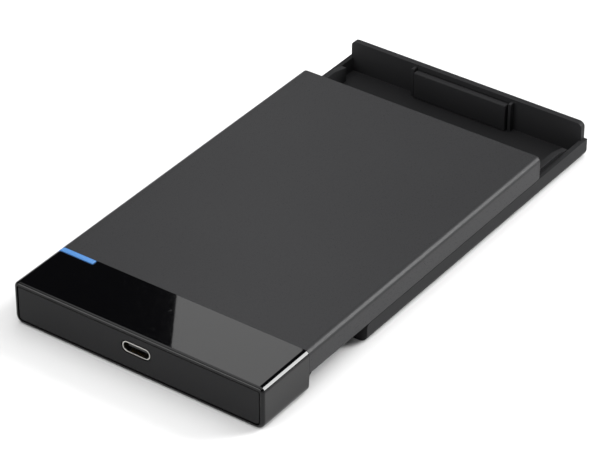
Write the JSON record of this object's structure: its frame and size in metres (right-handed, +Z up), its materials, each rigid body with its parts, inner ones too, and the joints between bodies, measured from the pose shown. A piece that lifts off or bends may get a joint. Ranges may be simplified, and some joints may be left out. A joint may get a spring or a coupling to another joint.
{
  "type": "hard disk drive",
  "caption": "Pocket hard disk drive: a matte slab with a gloss front block, blue light bar and USB-C port; the tray slides out to the back.",
  "frame": {"origin": "middle of the object's footprint at rest, on the surface it lies on", "axes": "+X to the right, +Y to the back along the tray's travel, +Z up"},
  "size_m": [0.08, 0.1542, 0.013],
  "materials": {
    "matte_black_shell": "fine matte moulded grain",
    "satin_black_plastic": "satin moulded plastic",
    "gloss_black_plastic": "polished piano black",
    "blue_light_guide": "clear tinted light guide",
    "nickel_plate": "nickel plated steel",
    "steel": "stamped and turned steel",
    "cast_aluminium": "fine cast, machined lands",
    "mirror_disk": "polished sputtered disk",
    "copper_winding": "enamelled copper wire",
    "plated_magnet": "nickel plated magnet",
    "green_laminate": "solder mask on glass laminate",
    "chip_black": "moulded epoxy",
    "connector_black": "glass filled nylon",
    "ceramic_tan": "fired ceramic",
    "lamp_white": "milky lens",
    "ramp_white": "acetal and filter felt"
  },
  "bodies": {
    "enclosure": {"cover_shell": "matte_black_shell", "front_cap": "gloss_black_plastic", "front_panel": "satin_black_plastic", "light_pipe": "blue_light_guide", "usb_c_shell": "nickel_plate", "usb_c_tongue": "connector_black", "bridge_board": "green_laminate", "bridge_chip": "chip_black", "crystal": "nickel_plate", "board_capacitor_1": "ceramic_tan", "board_capacitor_2": "ceramic_tan", "indicator_lamp": "lamp_white", "board_screw_left": "steel", "board_screw_right": "steel", "sata_receptacle": "connector_black", "drive_base": "cast_aluminium", "drive_lid": "steel", "lid_screw_1": "steel", "lid_screw_2": "steel", "lid_screw_3": "steel", "lid_screw_4": "steel", "lid_screw_5": "steel", "lid_screw_6": "steel", "drive_circuit_board": "green_laminate", "drive_board_screw_1": "steel", "drive_board_screw_2": "steel", "drive_board_screw_3": "steel", "controller_chip": "chip_black", "memory_chip": "chip_black", "motor_driver_chip": "chip_black", "sata_plug": "connector_black", "spindle_shaft": "steel", "motor_stator": "copper_winding", "pivot_shaft": "steel", "yoke_lower": "steel", "yoke_upper": "steel", "magnet_lower": "plated_magnet", "magnet_upper": "plated_magnet", "load_ramp": "ramp_white", "air_filter": "ramp_white", "flex_socket": "connector_black"},
    "tray": {"tray": "satin_black_plastic", "drive_stop": "satin_black_plastic"},
    "spindle": {"spindle_hub": "cast_aluminium", "platter_lower": "mirror_disk", "platter_upper": "mirror_disk", "platter_spacer": "cast_aluminium", "platter_clamp": "steel", "clamp_screw_1": "steel", "clamp_screw_2": "steel", "clamp_screw_3": "steel"},
    "actuator": {"actuator_arm": "cast_aluminium", "pivot_bearing": "nickel_plate", "voice_coil": "copper_winding", "head_suspension_1": "nickel_plate", "head_suspension_2": "nickel_plate", "head_suspension_3": "nickel_plate", "head_suspension_4": "nickel_plate"}
  },
  "joints": [
    {"name": "tray_slide", "type": "slide", "parent": "enclosure", "child": "tray", "axis": [0, 1, 0], "range_m": [-0.0254, 0.085]},
    {"name": "platter_spin", "type": "hinge", "parent": "enclosure", "child": "spindle", "pos_m": [0, 0.0119, 0.0063], "axis": [0, 0, 1], "continuous": true},
    {"name": "actuator_swing", "type": "hinge", "parent": "enclosure", "child": "actuator", "pos_m": [-0.01371, -0.03201, 0.0063], "axis": [0, 0, -1], "range_deg": [0, 30]}
  ]
}
